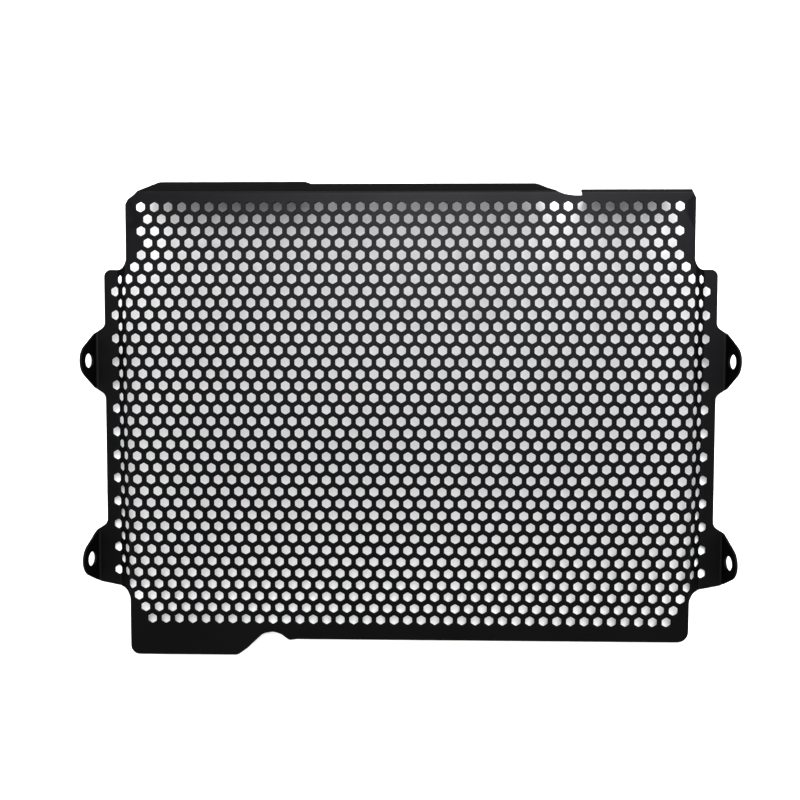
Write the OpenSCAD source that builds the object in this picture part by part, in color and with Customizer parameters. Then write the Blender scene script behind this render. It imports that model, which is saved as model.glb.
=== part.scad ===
// Motorcycle radiator guard: one laser-cut, folded and powder-coated sheet.
// It is drawn first in the sheet's own frame: u to the right, v up the panel,
// z out of the panel's front face, with the middle of the vent field at 0, 0.
// The whole sheet is then tipped by a few degrees, because it lies on the free
// edge of its top flange and on the lower ends of its two side wings.

/* [Sheet] */
// Thickness of the sheet
sheet_t = 1.2; // [1:0.1:1.6]
// Inside radius of every bend
bend_r = 1.2; // [0.8:0.1:1.6]
// Width between the starts of the two side bends
panel_w = 287; // [281:1:293]
// How far the panel's side edges run past those lines, above and below the wings
panel_lip = 0.7; // [0.4:0.1:1]
// Where the bend of the top flange starts, above the middle of the vents
panel_top = 112.4; // [111.8:0.1:114]
// Bottom edge of the panel, below the middle of the vents
panel_bottom = 116.4; // [114:0.2:118]
// Bottom edge of the deeper plate at the lower left
plate_bottom = 125; // [122:0.5:128]

/* [Vents] */
// Number of rows of hexagonal vents
vent_rows = 22; // [18:2:26]
// Height of the vent field, from the first row's centres to the last row's
vent_field_h = 208; // [204:1:210]
// Vent width across its flats, as a share of the pitch
vent_share = 0.68; // [0.5:0.01:0.74]

/* [Side wings] */
// Slope of the band between the panel and a wing
band_angle = 42; // [34:1:46]
// Straight length of that band
band_len = 7.4; // [5:0.1:8]
// Outer edge of a wing, from the middle of the panel
wing_edge = 157.6; // [156.6:0.1:160]
// Top edge of the wings
wing_top = 74.8; // [72:0.1:78]

/* [Mounting lugs] */
// How far a lug runs on flat past the wing's edge before it bends up
lug_reach = 3.6; // [3:0.1:6]
// Angle of a lug from the wing
lug_angle = 79; // [70:1:84]
// Height of a lug above its bend
lug_h = 13.7; // [12:0.1:15]
// Radius of a lug's round end
lug_r = 8.9; // [8:0.1:10]
// Slant of a lug's sides
lug_slant = 33; // [26:1:36]
// Diameter of the hole in a lug
lug_hole_d = 7.6; // [5.5:0.1:8]
// Height of that hole above the bend
lug_hole_h = 5.9; // [5.4:0.1:6.4]
// Upper pair of lugs, from the middle of the vents
lug_upper_v = 27.9; // [22:0.1:34]
// Lower pair of lugs, from the middle of the vents
lug_lower_v = -74.8; // [-75.5:0.1:-72]

/* [Top flange] */
// Angle of the left and middle stretch of the flange
flange_angle = 68; // [60:1:72]
// Straight length of the left stretch
flange_left_len = 19.8; // [17:0.1:21]
// Straight length of the middle stretch
flange_mid_len = 14.8; // [12:0.1:17]
// Angle of the right stretch
flange_right_angle = 90; // [80:1:90]

/* [Hidden] */

t = sheet_t;
rm = bend_r + t / 2;              // bend radius at the middle of the sheet
e = panel_w / 2;                  // start of a side bend
lip = e + panel_lip;              // side edge of the panel
steps = 8;                        // flats along each bend
big = 60;

function around(c, r, a0, a1, n) =
    [for (i = [0 : n]) let (a = a0 + (a1 - a0) * i / n) [c[0] + r * cos(a), c[1] + r * sin(a)]];
function backwards(p) = [for (i = [len(p) - 1 : -1 : 0]) p[i]];

// ---- the joggle: a bend down, a sloping band and a bend back to level ----
c1 = [e, -t / 2 - rm];
c2 = [c1[0] + 2 * rm * sin(band_angle) + band_len * cos(band_angle),
      c1[1] + 2 * rm * cos(band_angle) - band_len * sin(band_angle)];
wing_front = c2[1] - bend_r;      // height of the wing's front face
wing_back = wing_front - t;
bend_arc = rm * band_angle * PI / 180;

module wing_section() polygon(concat(
    around(c1, rm + t / 2, 90, 90 - band_angle, steps),
    around(c2, rm - t / 2, 270 - band_angle, 270, steps),
    [[wing_edge, wing_front], [wing_edge, wing_back]],
    backwards(around(c2, rm + t / 2, 270 - band_angle, 270, steps)),
    backwards(around(c1, rm - t / 2, 90, 90 - band_angle, steps))));

// Extrudes a u-z section along v, from v0 to v1.
module along_v(v0, v1) translate([0, v1, 0]) rotate([90, 0, 0]) linear_extrude(v1 - v0) children();
// Extrudes a v-z section along u, from u0 to u1.
module along_u(u0, u1) translate([u0, 0, 0]) rotate([90, 0, 90]) linear_extrude(u1 - u0) children();

// ---- a mounting lug: level, then bent towards the front, with a round end ----
lug_u = wing_edge + lug_reach;    // where the lug's bend starts
c3 = [lug_u, wing_front - t / 2 + rm];
lug_foot = [c3[0] + rm * sin(lug_angle), c3[1] - rm * cos(lug_angle)];
lug_c = lug_h - lug_r;            // height of the round end's centre
low_slant = 25;                   // slant of the lower lugs' lower sides

// Half width of a lug at height h above its bend, for one slant of its side.
function lug_half(h, slant) = lug_r / cos(slant) + (lug_c - h) * tan(slant);

module lug_section() {
    along = [cos(lug_angle), sin(lug_angle)];
    inner = around(c3, rm - t / 2, 270, 270 + lug_angle, steps);
    outer = around(c3, rm + t / 2, 270, 270 + lug_angle, steps);
    h = lug_h + 1;
    polygon(concat(
        [[wing_edge, wing_front]], inner,
        [inner[steps] + h * along, outer[steps] + h * along],
        backwards(outer), [[wing_edge, wing_back]]));
}

// What is left outside one side of a lug, as a flat shape: x up the lug, y along v.
module lug_corner(slant) polygon(concat(
    [[-2.6, lug_half(-2.6, slant)]], around([lug_c, 0], lug_r, 90 - slant, 0, 8),
    [[lug_h + 4, 0], [lug_h + 4, 24], [-2.6, 24]]));

// Puts flat shapes drawn in a lug's plane where the lug is.
module on_lug(v) translate([lug_foot[0], v, lug_foot[1]]) rotate([0, -lug_angle, 0]) children();

module lug(v, slant) difference() {
    along_v(v - 21, v + 21) lug_section();
    on_lug(v) translate([0, 0, -3]) linear_extrude(6) lug_corner(lug_slant);
    on_lug(v) translate([0, 0, -3]) linear_extrude(6) mirror([0, 1]) lug_corner(slant);
    on_lug(v) translate([lug_hole_h, 0, -4]) cylinder(h = 8, d = lug_hole_d, $fn = 64);
}

// Outline beside a lug: a hollow corner off the wing's edge, then the slanting side.
hollow_r = 4;
lug_foot_half = lug_half(-1.77, lug_slant);
hollow_v = lug_foot_half + (lug_u - wing_edge - hollow_r) * tan(lug_slant) + hollow_r / cos(lug_slant);
hollow = concat(around([wing_edge + hollow_r, hollow_v], hollow_r, 180, 270 - lug_slant, 5),
                [[lug_u, lug_foot_half], [wing_edge + 30, lug_foot_half]]);

// ---- the flange along the top ----
cf = [panel_top, -t / 2 - rm];
// Section of a flange of one angle and straight length, from the panel's top.
module flange_section(angle, straight) {
    along = [cos(angle), -sin(angle)];
    front = around(cf, rm + t / 2, 90, 90 - angle, steps);
    back = around(cf, rm - t / 2, 90, 90 - angle, steps);
    polygon(concat(front, [front[steps] + straight * along, back[steps] + straight * along],
                   backwards(back)));
}
// Lowest point of the left stretch, which the sheet lies on
rest_v = cf[0] + (rm - t / 2) * sin(flange_angle) + flange_left_len * cos(flange_angle);
rest_z = cf[1] + (rm - t / 2) * cos(flange_angle) - flange_left_len * sin(flange_angle);
foot_v = -90.1;                   // lower end of the wings, which it also lies on
tip = atan((wing_back - rest_z) / (rest_v - foot_v));
// The right stretch reaches the same surface.
right_len = (cf[1] + bend_r * cos(flange_right_angle) - rest_z
             - (rest_v - panel_top - bend_r * sin(flange_right_angle)) * tan(tip))
            / (sin(flange_right_angle) - cos(flange_right_angle) * tan(tip)) - 0.1;

// ---- outline seen square on, right and left side alike below the top edge ----
module outline() {
    side = concat(
        around([lip + 5.5, 80.2], 5.5, 180, 270, 5),
        around([wing_edge - 3.5, wing_top - 3.5], 3.5, 90, 0, 4),
        // past the wing's edge the outline follows the lugs, with hollow corners
        [for (p = hollow) [p[0], lug_upper_v + p[1]]],
        [for (p = backwards(hollow)) [p[0], lug_upper_v - p[1]]],
        [for (p = hollow) [p[0], lug_lower_v + p[1]]],
        [[wing_edge + 30, lug_lower_v - 13.1], [lug_u, lug_lower_v - 13.1], [155.5, -89.3]],
        around([lip + 5.6, -96.1], 5.6, 95, 180, 5));
    polygon(concat(
        side,
        // bottom right corner, bottom edge, arch and the deeper plate on the left
        around([lip - 5.5, -panel_bottom + 5.5], 5.5, 0, -90, 5),
        [[-58, -panel_bottom], [-61, -panel_bottom - 0.4], [-64, -panel_bottom + 1]],
        around([-70, -panel_bottom - 3.2], 7, 60, 125, 6),
        [[-84, -plate_bottom + 2.9], [-87.2, -plate_bottom + 0.7], [-91, -plate_bottom]],
        around([-lip + 4.5, -plate_bottom + 4.5], 4.5, 270, 180, 5),
        [for (i = [len(side) - 1 : -1 : 0]) [-side[i][0], side[i][1]]],
        // slanted left end, flange, notch, right stretch
        [[-lip, 107.2], [-lip + 1.3, 109.9], [-lip + 5.5, 113.2], [-130.5, 124], [-130.5, 128], [66, 128], [66, 120.4],
         [67.6, 118.6], [70.3, 116], [74.3, 113.6], [78.7, 112.2], [83.7, 111.5], [87.4, 111.5],
         [87.4, 128], [e - 1.5, 128], [e - 1.5, 113], [lip - 0.5, 111.8], [lip, 110]]));
}

// The flat panel, with the vents that don't reach its side bends
module panel() translate([0, 0, -t]) linear_extrude(t) difference() {
    intersection() {
        outline();
        translate([-e, -128]) square([panel_w, 128 + panel_top]);
    }
    for (k = [0 : vent_rows - 1]) panel_vents(k);
}

// What is folded on each side: the joggle, the wing and its two lugs
module wing() intersection() {
    union() {
        along_v(-128, panel_top) wing_section();
        lug(lug_upper_v, lug_slant);
        lug(lug_lower_v, low_slant);
    }
    translate([0, 0, -big / 2]) linear_extrude(big) outline();
}

// What is folded along the top: two stretches of one angle and a square one,
// whose ends are slanted
module flange() difference() {
    intersection() {
        union() {
            along_u(-e, -53) flange_section(flange_angle, flange_left_len);
            along_u(-53, 75) flange_section(flange_angle, flange_mid_len);
            along_u(87.4, e - 1.5) flange_section(flange_right_angle, right_len);
        }
        translate([0, 0, -big / 2]) linear_extrude(big) outline();
    }
    translate([0, cf[0] + rm * sin(flange_right_angle), cf[1] + rm * cos(flange_right_angle)])
        rotate([-flange_right_angle, 0, 0]) translate([0, 0, -3]) linear_extrude(6) {
            polygon([[133, right_len], [139.5, 6], [141, 4], [150, 3], [150, 30], [133, 30]]);
            polygon([[80, 1], [87.4, 1], [91.5, right_len], [91.5, 30], [80, 30]]);
        }
}

// ---- vents: a honeycomb of hexagons, points up, cut before the sheet is folded ----
vent_step = vent_field_h / (vent_rows - 1);
pitch = vent_step / sin(60);
vent_af = vent_share * pitch;

// Where a point of the flat blank goes when it is folded: u, z and slope.
function fold(s) =
    s <= e ? [s, -t / 2, 0] :
    s <= e + bend_arc ?
        let (a = (s - e) / rm * 180 / PI) [c1[0] + rm * sin(a), c1[1] + rm * cos(a), a] :
    s <= e + bend_arc + band_len ?
        let (d = s - e - bend_arc)
        [c1[0] + rm * sin(band_angle) + d * cos(band_angle),
         c1[1] + rm * cos(band_angle) - d * sin(band_angle), band_angle] :
    s <= e + 2 * bend_arc + band_len ?
        let (a = band_angle - (s - e - bend_arc - band_len) / rm * 180 / PI)
        [c2[0] - rm * sin(a), c2[1] - rm * cos(a), a] :
    [c2[0] + s - e - 2 * bend_arc - band_len, wing_front - t / 2, 0];

// Furthest vent centre from the middle, for a row at height v.
function reach(v) = (v > 78 || v < -97 ? e - 4 : v > 71 || v < -86 ? e - 1 : 156.6) - vent_af / 2;

// Columns of a row are counted in half pitches from the middle: odd and even rows are staggered.
half = pitch / 2;
function vent_v(k) = vent_field_h / 2 - k * vent_step;
function last(k) = let (n = floor(reach(vent_v(k)) / half)) n - (n + k) % 2;

// Vents that lie wholly in the panel, as flat shapes
module panel_vents(k)
    for (i = [-last(k) : 2 : last(k)]) if (abs(i) * half < e - vent_af / 2)
        translate([i * half, vent_v(k)]) rotate(30) circle(d = vent_af / cos(30), $fn = 6);

// Vents that reach the right-hand bend or lie beyond it, each cut square to the sheet at its middle
module side_vents() for (k = [0 : vent_rows - 1])
    for (i = [0 : last(k)]) if ((i + k) % 2 == 0 && i * half >= e - vent_af / 2) {
        p = fold(i * half);
        translate([p[0], vent_v(k), p[1]]) rotate([0, p[2], 0]) rotate([0, 0, 30])
            cylinder(h = 5, d = vent_af / cos(30), center = true, $fn = 6);
    }

// Middle of the part's box, front to back, once it is tipped
box_v = ((rest_v + t * sin(flange_angle)) * cos(tip) - (rest_z + t * cos(flange_angle)) * sin(tip)
         - plate_bottom * cos(tip)) / 2;
rest_h = -(rest_v * sin(tip) + rest_z * cos(tip));

module guard_sheet() color([0.03, 0.03, 0.032])
    translate([0, -box_v, rest_h]) rotate([tip, 0, 0])
        difference() {
            union() {
                panel();
                wing();
                mirror([1, 0, 0]) wing();
                flange();
            }
            side_vents();
            mirror([1, 0, 0]) side_vents();
        }

guard_sheet();
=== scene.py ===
import math

import bpy
import numpy as np
from mathutils import Matrix, Vector
from mathutils.geometry import delaunay_2d_cdt


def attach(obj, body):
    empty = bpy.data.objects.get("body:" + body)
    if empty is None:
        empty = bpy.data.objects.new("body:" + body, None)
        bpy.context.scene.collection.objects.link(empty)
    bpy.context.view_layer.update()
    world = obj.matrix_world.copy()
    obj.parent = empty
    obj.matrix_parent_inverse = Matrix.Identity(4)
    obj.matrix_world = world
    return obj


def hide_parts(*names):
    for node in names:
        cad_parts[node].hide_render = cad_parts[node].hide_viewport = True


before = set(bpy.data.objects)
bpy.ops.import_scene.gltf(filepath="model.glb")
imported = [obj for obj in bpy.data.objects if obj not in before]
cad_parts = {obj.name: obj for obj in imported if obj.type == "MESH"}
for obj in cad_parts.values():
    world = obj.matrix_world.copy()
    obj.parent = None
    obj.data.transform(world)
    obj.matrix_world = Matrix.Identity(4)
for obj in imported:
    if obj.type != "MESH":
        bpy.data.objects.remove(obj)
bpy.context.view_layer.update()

MM = 0.001

# ---------------------------------------------------------------- the sheet
# One folded sheet, in millimetres, in its own frame: u to the right, v up the
# panel, z out of the front face, with the middle of the vent field at 0, 0.
# It is laid out flat first, as s across and w up, and folded afterwards.
T = 1.2             # thickness
RM = 1.8            # bend radius at the middle of the sheet
E = 143.5           # side bends start here
LIP = 144.2         # side edges of the panel above and below the wings
TOP = 112.4         # the top flange's bend starts here
BOTTOM = -116.4
PLATE = -125.0      # bottom of the deeper plate at the lower left
WING_EDGE = 157.6
WING_TOP = 74.8
WING_FOOT = -90.1
EASE = 0.18         # rounding of every cut edge
BEND_STEPS = 12


def arc_len(angle):
    return RM * math.radians(angle)


BAND = 42.0
BAND_LEN = 7.4
LUG_ANGLE = 79.0
LUG_U = 161.2
LUG_H = 13.7
LUG_R = 8.9
LUG_SLANT = 33.0
LUG_LOW_SLANT = 25.0
LUG_HOLE_D = 7.6
LUG_HOLE_H = 5.9
LUGS_V = (27.9, -74.8)
FLANGE = 68.0
FLANGE_LEFT = 19.8
FLANGE_MID = 14.8
FLANGE_RIGHT = 90.0  # angle of the right stretch
SPLIT = 85.6        # the flange's two angles meet here, in the notch

# ---- the tilt and place of the frame: the sheet lies on its flange and wings
c1z = -T / 2 - RM
c2z = c1z + 2 * RM * math.cos(math.radians(BAND)) - BAND_LEN * math.sin(math.radians(BAND))
wing_back = c2z - (RM - T / 2) - T
fa, ra = math.radians(FLANGE), math.radians(FLANGE_RIGHT)
rest_v = TOP + (RM - T / 2) * math.sin(fa) + FLANGE_LEFT * math.cos(fa)
rest_z = c1z + (RM - T / 2) * math.cos(fa) - FLANGE_LEFT * math.sin(fa)
tip = math.atan((wing_back - rest_z) / (rest_v - WING_FOOT))
box_v = ((rest_v + T * math.sin(fa)) * math.cos(tip) - (rest_z + T * math.cos(fa)) * math.sin(tip)
         + PLATE * math.cos(tip)) / 2
rest_h = -(rest_v * math.sin(tip) + rest_z * math.cos(tip))
# the right stretch reaches the same surface
right_len = ((c1z + (RM - T / 2) * math.cos(ra) - rest_z
              - (rest_v - TOP - (RM - T / 2) * math.sin(ra)) * math.tan(tip))
             / (math.sin(ra) - math.cos(ra) * math.tan(tip)) - 0.1)

# u and z at the end of the joggle
joggle_u = E + 2 * RM * math.sin(math.radians(BAND)) + BAND_LEN * math.cos(math.radians(BAND))
WING = [(arc_len(BAND), BAND), (BAND_LEN, 0), (arc_len(BAND), -BAND), (LUG_U - joggle_u, 0),
        (arc_len(LUG_ANGLE), -LUG_ANGLE), (LUG_H, 0)]
LEFT = [(arc_len(FLANGE), FLANGE), (FLANGE_LEFT, 0)]
RIGHT = [(arc_len(FLANGE_RIGHT), FLANGE_RIGHT), (right_len, 0)]


def follow(d, chain):
    """Distance, height and slope at flat distance d along straight and bent pieces (length, turn)."""
    d = np.asarray(d, float)
    x, z, a = np.minimum(d, 0.0), np.zeros_like(d), np.zeros_like(d)
    px = pz = pa = at = 0.0
    for n, (length, turn) in enumerate(chain):
        here = (d > at) & ((d <= at + length) | (n == len(chain) - 1))
        k = math.radians(turn) / length
        for end in (False, True):
            step = np.array([length]) if end else d[here] - at
            if k:
                angle = pa + k * step
                nx = px + (np.sin(angle) - math.sin(pa)) / k
                nz = pz + (np.cos(angle) - math.cos(pa)) / k
            else:
                angle = pa + 0 * step
                nx, nz = px + step * math.cos(pa), pz - step * math.sin(pa)
            if not end:
                x[here], z[here], a[here] = nx, nz, angle
            else:
                px, pz, pa = float(nx[0]), float(nz[0]), float(angle[0])
        at += length
    return x, z, a


def fold(s, w):
    """Middle of the sheet and its front normal, once folded, for points of the flat blank."""
    s, w = np.asarray(s, float), np.asarray(w, float)
    side = np.where(s < 0, -1.0, 1.0)
    x, z1, a1 = follow(np.abs(s) - E, WING)
    yl, zl, al = follow(w - TOP, LEFT)
    yr, zr, ar = follow(w - TOP, RIGHT)
    right = s > SPLIT
    y, z2, a2 = np.where(right, yr, yl), np.where(right, zr, zl), np.where(right, ar, al)
    p = np.stack([side * (E + x), TOP + y, z1 + z2 - T / 2], 1)
    n = np.stack([side * np.sin(a1), np.sin(a2), np.cos(a1) * np.cos(a2)], 1)
    return p, n


# flat distance of a point that is u from the middle, once folded
table_s = np.linspace(0, E + 40, 3700)
table_u = E + follow(table_s - E, WING)[0]
flat = table_u <= LUG_U


def flat_s(u):
    return float(np.interp(u, table_u[flat], table_s[flat]))


def turn(p):
    return np.stack([p[:, 0], p[:, 1] * math.cos(tip) - p[:, 2] * math.sin(tip),
                     p[:, 1] * math.sin(tip) + p[:, 2] * math.cos(tip)], 1)


def lay(p):
    """Sheet frame in millimetres to the row frame in metres."""
    return (turn(p) + np.array([0, -box_v, rest_h])) * MM


# ---------------------------------------------------------------- the blank
def around(c, r, a0, a1, n):
    return [(c[0] + r * math.cos(math.radians(a0 + (a1 - a0) * i / n)),
             c[1] + r * math.sin(math.radians(a0 + (a1 - a0) * i / n))) for i in range(n + 1)]


def filleted(points, n=5):
    """Rounds the corners of an open chain of (x, y, radius)."""
    out = []
    for i, (x, y, r) in enumerate(points):
        if r == 0 or i in (0, len(points) - 1):
            out.append((x, y))
            continue
        p, a, b = (Vector(q[:2]) for q in (points[i], points[i - 1], points[i + 1]))
        da, db = (a - p).normalized(), (b - p).normalized()
        half = da.angle(db) / 2
        cut = min(r / math.tan(half), (a - p).length * 0.49, (b - p).length * 0.49)
        r = cut * math.tan(half)
        c = p + (da + db).normalized() * (r / math.sin(half))
        a0 = math.atan2(*(p + da * cut - c).yx)
        a1 = math.atan2(*(p + db * cut - c).yx)
        if a1 - a0 > math.pi:
            a1 -= 2 * math.pi
        if a0 - a1 > math.pi:
            a1 += 2 * math.pi
        out += around(c, r, math.degrees(a0), math.degrees(a1), n)
    return out


lug_foot = flat_s(LUG_U) + arc_len(LUG_ANGLE)      # flat distance where a lug stands straight
wing_s = flat_s(WING_EDGE)
lug_centre = lug_foot + LUG_H - LUG_R


def lug_side(v0, phi, hollow):
    """From the wing's edge round a hollow corner to where a lug's slanting side begins."""
    p = math.radians(phi)
    run = (lug_centre + (LUG_R + hollow) * math.sin(p) - wing_s - hollow) / math.cos(p)
    cv = v0 + (LUG_R + hollow) * math.cos(p) + run * math.sin(p)
    return around((wing_s + hollow, cv), hollow, 180, 270 - phi, 8)


def mirrored_v(points, v0):
    return [(x, 2 * v0 - y) for x, y in reversed(points)]


upper, lower = (lug_side(v, LUG_SLANT, 4.0) for v in LUGS_V)
side = [(flat_s(u), v) for u, v in around((LIP + 5.5, 80.2), 5.5, 180, 270, 8)]
side += [(wing_s - 3.5 + x, WING_TOP - 3.5 + y) for x, y in around((0, 0), 3.5, 90, 0, 8)]
side += upper + around((lug_centre, LUGS_V[0]), LUG_R, 90 - LUG_SLANT, -(90 - LUG_SLANT), 30)
side += mirrored_v(upper, LUGS_V[0])
side += lower + around((lug_centre, LUGS_V[1]), LUG_R, 90 - LUG_SLANT, -(90 - LUG_LOW_SLANT), 30)
side += filleted([(flat_s(LUG_U) + 3, LUGS_V[1] - 12.3, 0), (flat_s(LUG_U) + 0.2, LUGS_V[1] - 13.3, 3),
                  (flat_s(155.5), -89.3, 20), (flat_s(151), -90.3, 0)], 4)[1:-1]
side += [(flat_s(u), v) for u, v in around((LIP + 5.6, -96.1), 5.6, 95, 180, 8)]

bottom = around((LIP - 5.5, BOTTOM + 5.5), 5.5, 0, -90, 8)
bottom += filleted([(LIP - 5.5, BOTTOM, 0), (-57.5, BOTTOM, 3), (-61.5, BOTTOM - 0.6, 2.5), (-65.5, BOTTOM + 2.4, 3),
                    (-69.5, -112.5, 6), (-75.2, -113.5, 6), (-83.5, -121.4, 3), (-88.5, PLATE, 4),
                    (-95, PLATE, 0)], 5)
bottom += around((-LIP + 4.5, PLATE + 4.5), 4.5, 270, 180, 8)


def flat_w(v):
    """Flat distance up the panel and its slanting flange of a point at height v."""
    d = v - TOP
    if d <= 0:
        return v
    if d < RM * math.sin(fa):
        return TOP + RM * math.asin(d / RM)
    return TOP + arc_len(FLANGE) + (d - RM * math.sin(fa)) / math.cos(fa)


left_w = TOP + arc_len(FLANGE) + FLANGE_LEFT
mid_w = TOP + arc_len(FLANGE) + FLANGE_MID
right_w = TOP + arc_len(FLANGE_RIGHT) + right_len
right_root = TOP + arc_len(FLANGE_RIGHT)
top = filleted([(-LIP, 100, 0), (-LIP, 107.6, 2), (-142.9, 110.1, 2.5), (-138.6, 113.2, 5), (-132.0, left_w, 1.5),
                (-54.6, left_w, 1.2), (-51.0, mid_w, 1.2), (65.8, mid_w, 2.0), (67.8, flat_w(118.4), 3),
                (70.6, flat_w(115.9), 4), (74.2, flat_w(113.6), 6), (78.7, flat_w(112.2), 8), (83.4, 111.5, 3),
                (87.4, 111.5, 0.5), (87.4, right_root + 1, 2), (91.5, right_w, 1.2), (133, right_w, 4), (139.5, right_root + 6, 3),
                (142.7, right_root + 3.6, 1.5), (142.7, 113.6, 1.0), (LIP, 110.4, 1.5), (LIP, 100, 0)], 5)

outline = top[:-1] + side + bottom + [(-x, y) for x, y in reversed(side)] + top[:1]
outline = [p for i, p in enumerate(outline) if math.dist(p, outline[i - 1]) > 0.02]
outline = np.array(outline)[::-1]                  # anticlockwise


# ---- the honeycomb: points up, cut before the sheet is folded
PITCH = 7.0
ROW = PITCH * math.sin(math.radians(60))
AF = 4.70
CUT = 0.17          # how far a vent's six corners are cut back
LAST = {-17: 39, -16: 38, -15: 39, -14: 38, -13: 39, -12: 40, 15: 41, 16: 40, 17: 39, 18: 38}


def row_vents(j):
    last = LAST.get(j, 43 if j % 2 else 44)
    return [(i * PITCH / 2, -(j - 0.5) * ROW) for i in range(-last, last + 1, 2)]


vents = np.array([c for j in range(-17, 19) for c in row_vents(j)])


def vent_shape(af, cut):
    """Hexagon with its points up and its corners cut back."""
    r = af / math.sqrt(3)
    out = []
    for k in range(6):
        a = math.radians(30 + 60 * k)
        half = cut * math.tan(math.radians(60))
        m = np.array([math.cos(a), math.sin(a)]) * (r - cut)
        t = np.array([-math.sin(a), math.cos(a)]) * half
        out += [m - t, m + t]
    return np.array(out)


def offset(loop, d):
    """Moves a closed anticlockwise loop outwards by d."""
    a, b, c = np.roll(loop, 1, 0), loop, np.roll(loop, -1, 0)
    d1, d2 = b - a, c - b
    n1 = np.stack([d1[:, 1], -d1[:, 0]], 1) / np.linalg.norm(d1, axis=1)[:, None]
    n2 = np.stack([d2[:, 1], -d2[:, 0]], 1) / np.linalg.norm(d2, axis=1)[:, None]
    return b + d * (n1 + n2) / (1 + (n1 * n2).sum(1))[:, None]


loops = [offset(outline, -EASE)]
shape = offset(vent_shape(AF, CUT), EASE)
loops += [shape + c for c in vents]
lug_holes = []
for v0 in LUGS_V:
    for sgn in (-1, 1):
        centre = (sgn * (lug_foot + LUG_HOLE_H), v0)
        lug_holes.append(centre)
        loops.append(np.array(around(centre, LUG_HOLE_D / 2 + EASE, 0, 360, 48)[:-1]))

coords, edges = [], []
for loop in loops:
    base = len(coords)
    coords += [Vector((float(x), float(y))) for x, y in loop]
    edges += [(base + i, base + (i + 1) % len(loop)) for i in range(len(loop))]


def line(p, q):
    coords.extend([Vector(p), Vector(q)])
    edges.append((len(coords) - 2, len(coords) - 1))


# lines along which the sheet bends
at = E
for length, bent in WING:
    if bent:
        for k in range(BEND_STEPS + 1):
            s = at + length * k / BEND_STEPS
            lug = s > flat_s(LUG_U) - 0.01
            for sgn in (-1, 1):
                if lug:
                    for v0 in LUGS_V:
                        line((sgn * s, v0 - 22), (sgn * s, v0 + 22))
                else:
                    line((sgn * s, -130), (sgn * s, 95))
    at += length
line((-150, TOP), (150, TOP))
for chain, u0, u1 in ((LEFT, -150, SPLIT), (RIGHT, SPLIT, 150)):
    for k in range(1, BEND_STEPS + 1):
        w = TOP + chain[0][0] * k / BEND_STEPS
        line((u0, w), (u1, w))

verts, _, faces, _, _, _ = delaunay_2d_cdt(coords, edges, [], 0, 1e-5, False)
pts = np.array([(v.x, v.y) for v in verts])
tris = np.array([f for f in faces])
mid = pts[tris].mean(1)


def inside(points, loop):
    """Which points are inside a closed loop."""
    a, b = loop, np.roll(loop, -1, 0)
    hit = np.zeros(len(points), bool)
    for (x0, y0), (x1, y1) in zip(a, b):
        if y0 == y1:
            continue
        cross = (y0 > points[:, 1]) != (y1 > points[:, 1])
        xs = x0 + (points[:, 1] - y0) * (x1 - x0) / (y1 - y0)
        hit ^= cross & (points[:, 0] < xs)
    return hit


keep = inside(mid, loops[0])
# triangles in a vent: near enough to the centre of one of the vents around them
where = {}
for n, (x, y) in enumerate(vents):
    where.setdefault((round(x / (PITCH / 2)), round(0.5 - y / ROW)), n)
af, cut = AF + 2 * EASE, CUT + EASE * (2 / math.sqrt(3) - 1)
j0 = np.round(0.5 - mid[:, 1] / ROW).astype(int)
known = np.array(sorted(where))
lookup = np.full((110, 60), -1)
for (i, j), n in where.items():
    lookup[i + 55, j + 30] = n
for dj in (-1, 0, 1):
    j = np.clip(j0 + dj, -29, 29)
    i0 = np.round(mid[:, 0] / (PITCH / 2)).astype(int)
    for di in (-1, 0, 1):
        i = np.clip(i0 + di, -54, 54)
        n = lookup[i + 55, j + 30]
        d = mid - vents[np.maximum(n, 0)]
        hit = n >= 0
        for a in (0, 60, 120):
            c, s = math.cos(math.radians(a)), math.sin(math.radians(a))
            hit &= np.abs(d[:, 0] * c + d[:, 1] * s) < af / 2
            c, s = math.cos(math.radians(a + 30)), math.sin(math.radians(a + 30))
            hit &= np.abs(d[:, 0] * c + d[:, 1] * s) < af / math.sqrt(3) - cut
        keep &= ~hit
for x, y in lug_holes:
    keep &= np.hypot(mid[:, 0] - x, mid[:, 1] - y) > (LUG_HOLE_D / 2 + EASE) * math.cos(math.pi / 48)
tris = tris[keep]
p0, p1, p2 = pts[tris[:, 0]], pts[tris[:, 1]], pts[tris[:, 2]]
area = ((p1[:, 0] - p0[:, 0]) * (p2[:, 1] - p0[:, 1]) - (p2[:, 0] - p0[:, 0]) * (p1[:, 1] - p0[:, 1])) / 2
tris[area < 0] = tris[area < 0][:, ::-1]

# ---- the edges of the front face, in order, with the way out of the metal at each
used, index = np.unique(tris, return_inverse=True)
pts, tris = pts[used], index.reshape(-1, 3)
half = np.concatenate([tris[:, [0, 1]], tris[:, [1, 2]], tris[:, [2, 0]]])
pairs = {(int(a), int(b)) for a, b in half}
rim = [(a, b) for a, b in pairs if (b, a) not in pairs]
rim.sort()
after = {a: b for a, b in rim}
before = {b: a for a, b in rim}
ring = np.array(sorted(after))
prev_p, here_p, next_p = pts[[before[i] for i in ring]], pts[ring], pts[[after[i] for i in ring]]
d1, d2 = here_p - prev_p, next_p - here_p
l1, l2 = np.linalg.norm(d1, axis=1)[:, None], np.linalg.norm(d2, axis=1)[:, None]
n1 = np.stack([d1[:, 1], -d1[:, 0]], 1) / l1
n2 = np.stack([d2[:, 1], -d2[:, 0]], 1) / l2
miter = (n1 + n2) / np.maximum(1 + (n1 * n2).sum(1), 0.4)[:, None]
outward = n1 * l1 + n2 * l2
outward /= np.linalg.norm(outward, axis=1)[:, None]
wall = here_p + miter * EASE

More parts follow.
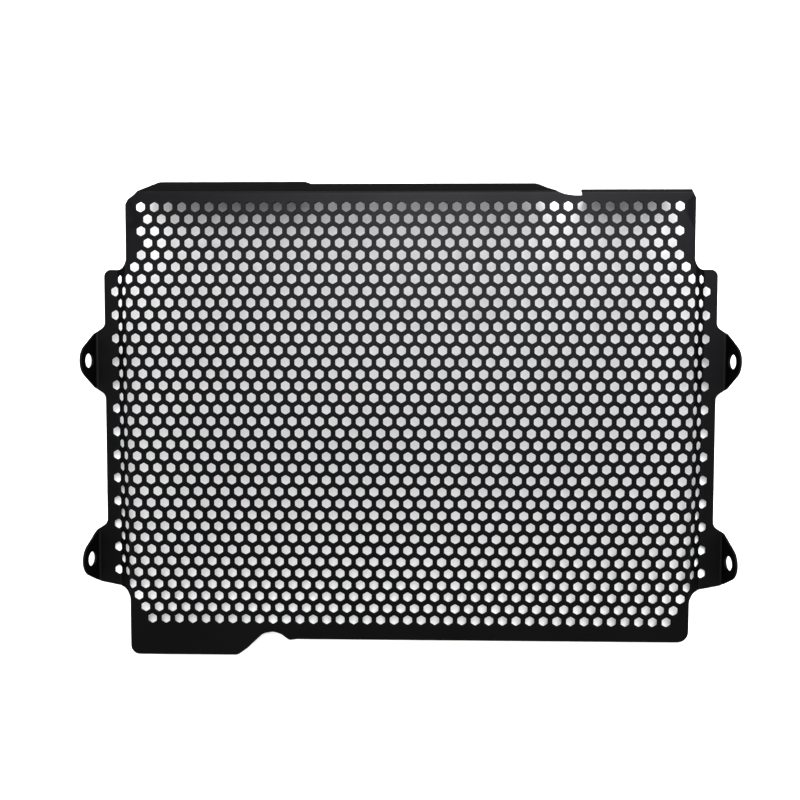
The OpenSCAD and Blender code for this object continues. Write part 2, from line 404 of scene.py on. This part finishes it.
p, n = fold(pts[:, 0], pts[:, 1])
pw, nw = fold(wall[:, 0], wall[:, 1])
po, _ = fold(wall[:, 0] + outward[:, 0] * 0.01, wall[:, 1] + outward[:, 1] * 0.01)
nout = po - pw
nout /= np.linalg.norm(nout, axis=1)[:, None]
N, R = len(pts), len(ring)
co = np.concatenate([p + n * T / 2, p - n * T / 2, pw + nw * (T / 2 - EASE), pw - nw * (T / 2 - EASE)])
normal = np.concatenate([n, -n, nout, nout])
place_of = {int(i): k for k, i in enumerate(ring)}
polys = [tuple(int(i) for i in t) for t in tris] + [tuple(int(i) + N for i in t[::-1]) for t in tris]
for a, b in rim:
    ka, kb = place_of[a], place_of[b]
    f0, f1 = a, b
    w0, w1 = 2 * N + ka, 2 * N + kb
    x0, x1 = 2 * N + R + ka, 2 * N + R + kb
    polys += [(f1, f0, w0, w1), (w1, w0, x0, x1), (x1, x0, a + N, b + N)]

mesh = bpy.data.meshes.new("guard")
mesh.from_pydata(lay(co).tolist(), [], polys)
mesh.validate()
mesh.update()
mesh.polygons.foreach_set("use_smooth", [True] * len(mesh.polygons))
mesh.normals_split_custom_set_from_vertices(turn(normal).tolist())
guard = bpy.data.objects.new("guard", mesh)
bpy.context.scene.collection.objects.link(guard)
print("guard: vents", len(vents), "vertices", len(mesh.vertices), "triangles",
      sum(len(f.vertices) - 2 for f in mesh.polygons), "rim edges", len(rim))


# ---------------------------------------------------------------- materials
def node(tree, kind, **values):
    made = tree.nodes.new(kind)
    for name, value in values.items():
        if hasattr(made, name):
            setattr(made, name, value)
        else:
            made.inputs[name.replace("_", " ")].default_value = value
    return made


def powder_coat():
    """Black powder coat: a fine orange peel, a faint grain and slow changes of gloss."""
    mat = bpy.data.materials.new("powder_coat")
    mat.use_nodes = True
    tree = mat.node_tree
    link = tree.links.new
    shader = tree.nodes["Principled BSDF"]
    shader.inputs["Metallic"].default_value = 0.9
    shader.inputs["Specular IOR Level"].default_value = 0.1
    shader.inputs["Specular Tint"].default_value = (0.02, 0.02, 0.02, 1)
    place = node(tree, "ShaderNodeTexCoord")
    peel = node(tree, "ShaderNodeTexNoise", Scale=900.0, Detail=2.0, Roughness=0.5)
    grain = node(tree, "ShaderNodeTexNoise", Scale=3800.0, Detail=2.0, Roughness=0.6)
    slow = node(tree, "ShaderNodeTexNoise", Scale=28.0, Detail=3.0, Roughness=0.55)
    for tex in (peel, grain, slow):
        link(place.outputs["Object"], tex.inputs["Vector"])
    gloss = node(tree, "ShaderNodeMapRange")
    for name, value in (("From Min", 0.3), ("From Max", 0.7), ("To Min", 0.35), ("To Max", 0.41)):
        gloss.inputs[name].default_value = value
    link(slow.outputs["Fac"], gloss.inputs["Value"])
    link(gloss.outputs["Result"], shader.inputs["Roughness"])
    tint = node(tree, "ShaderNodeMix", data_type="RGBA")
    tint.inputs["A"].default_value = (0.016, 0.016, 0.0172, 1)
    tint.inputs["B"].default_value = (0.021, 0.021, 0.0225, 1)
    for socket in tint.inputs:
        if socket.name == "A" and socket.type == "RGBA":
            socket.default_value = (0.016, 0.016, 0.0172, 1)
        if socket.name == "B" and socket.type == "RGBA":
            socket.default_value = (0.021, 0.021, 0.0225, 1)
    link(grain.outputs["Fac"], tint.inputs["Factor"])
    link([s for s in tint.outputs if s.type == "RGBA"][0], shader.inputs["Base Color"])
    bump1 = node(tree, "ShaderNodeBump")
    bump1.inputs["Strength"].default_value = 0.25
    bump1.inputs["Distance"].default_value = 0.00006
    link(peel.outputs["Fac"], bump1.inputs["Height"])
    bump2 = node(tree, "ShaderNodeBump")
    bump2.inputs["Strength"].default_value = 0.2
    bump2.inputs["Distance"].default_value = 0.00002
    link(grain.outputs["Fac"], bump2.inputs["Height"])
    link(bump1.outputs["Normal"], bump2.inputs["Normal"])
    link(bump2.outputs["Normal"], shader.inputs["Normal"])
    return mat


guard.data.materials.append(powder_coat())
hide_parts("guard_sheet")
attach(guard, "root")


# ---------------------------------------------------------------- floor and light
def floor_material():
    mat = bpy.data.materials.new("floor")
    mat.use_nodes = True
    tree = mat.node_tree
    shader = tree.nodes["Principled BSDF"]
    shader.inputs["Roughness"].default_value = 0.9
    shader.inputs["Specular IOR Level"].default_value = 0.1
    place = node(tree, "ShaderNodeTexCoord")
    tex = node(tree, "ShaderNodeTexNoise", Scale=60.0, Detail=3.0)
    tree.links.new(place.outputs["Object"], tex.inputs["Vector"])
    ramp = node(tree, "ShaderNodeValToRGB")
    ramp.color_ramp.elements[0].color = (0.86, 0.86, 0.86, 1)
    ramp.color_ramp.elements[1].color = (0.90, 0.90, 0.90, 1)
    tree.links.new(tex.outputs["Fac"], ramp.inputs["Fac"])
    tree.links.new(ramp.outputs["Color"], shader.inputs["Base Color"])
    return mat


size = 6.0
plane = bpy.data.meshes.new("floor")
plane.from_pydata([(-size, -size, 0), (size, -size, 0), (size, size, 0), (-size, size, 0)], [], [(0, 1, 2, 3)])
floor = bpy.data.objects.new("floor", plane)
floor.data.materials.append(floor_material())
bpy.context.scene.collection.objects.link(floor)

world = bpy.data.worlds.new("world")
bpy.context.scene.world = world
world.use_nodes = True
# a dim studio ceiling above bright walls, so that the floor is white and the black sheet stays black
sky = world.node_tree
where_to = sky.nodes.new("ShaderNodeTexCoord")
parts = sky.nodes.new("ShaderNodeSeparateXYZ")
band = sky.nodes.new("ShaderNodeValToRGB")
band.color_ramp.interpolation = "EASE"
for stop, level in ((0.0, 1.0), (0.7, 1.0), (0.85, 0.2), (1.0, 0.05)):
    if stop in (0.0, 1.0):
        element = band.color_ramp.elements[0 if stop == 0.0 else -1]
    else:
        element = band.color_ramp.elements.new(stop)
    element.color = (level, level, level, 1)
sky.links.new(where_to.outputs["Generated"], parts.inputs["Vector"])
sky.links.new(parts.outputs["Z"], band.inputs["Fac"])
sky.links.new(band.outputs["Color"], sky.nodes["Background"].inputs["Color"])
sky.nodes["Background"].inputs["Strength"].default_value = 1.1


def soft_box(name, at, aim, size, power):
    light = bpy.data.lights.new(name, "AREA")
    light.shape = "RECTANGLE"
    light.size, light.size_y = size
    light.energy = power
    obj = bpy.data.objects.new(name, light)
    obj.location = at
    obj.rotation_euler = (Vector(aim) - Vector(at)).to_track_quat("-Z", "Y").to_euler()
    bpy.context.scene.collection.objects.link(obj)
    return obj


soft_box("key", (0.11, 0.56, 1.42), (0, 0.02, 0), (0.85, 1.15), 19.5)
soft_box("left", (-1.3, 0.0, 0.75), (-0.05, 0, 0), (0.7, 1.2), 3.0)
soft_box("far", (0, 1.3, 0.3), (0, 0.1, 0), (1.2, 0.2), 5.0)
soft_box("right", (1.3, 0.0, 0.75), (0.05, 0, 0), (0.7, 1.2), 3.0)

# ---------------------------------------------------------------- camera
# A close-up lens straight above the sheet, turned by a degree or so.
FOCAL = 958.27      # in pixels of an image 800 wide
cam = bpy.data.cameras.new("camera")
cam.sensor_fit = "HORIZONTAL"
cam.sensor_width = 36.0
cam.lens = FOCAL * 36.0 / 800.0
cam.clip_start = 0.02
camera = bpy.data.objects.new("camera", cam)
eye = lay(np.array([[8.11, 34.97, 488.8]]))[0]     # from the middle of the vents, in the sheet's frame
turned = (Matrix.Rotation(tip - math.radians(3.3258), 3, "X") @ Matrix.Rotation(0.0031, 3, "Z")
          @ Matrix.Rotation(0.0250, 3, "Y") @ Matrix.Rotation(0.0033, 3, "X"))
camera.matrix_world = Matrix.Translation(Vector(eye.tolist())) @ turned.to_4x4()
bpy.context.scene.collection.objects.link(camera)
bpy.context.scene.camera = camera

view = bpy.context.scene.view_settings
view.view_transform = "Standard"
view.exposure = 0.67
view.gamma = 0.75
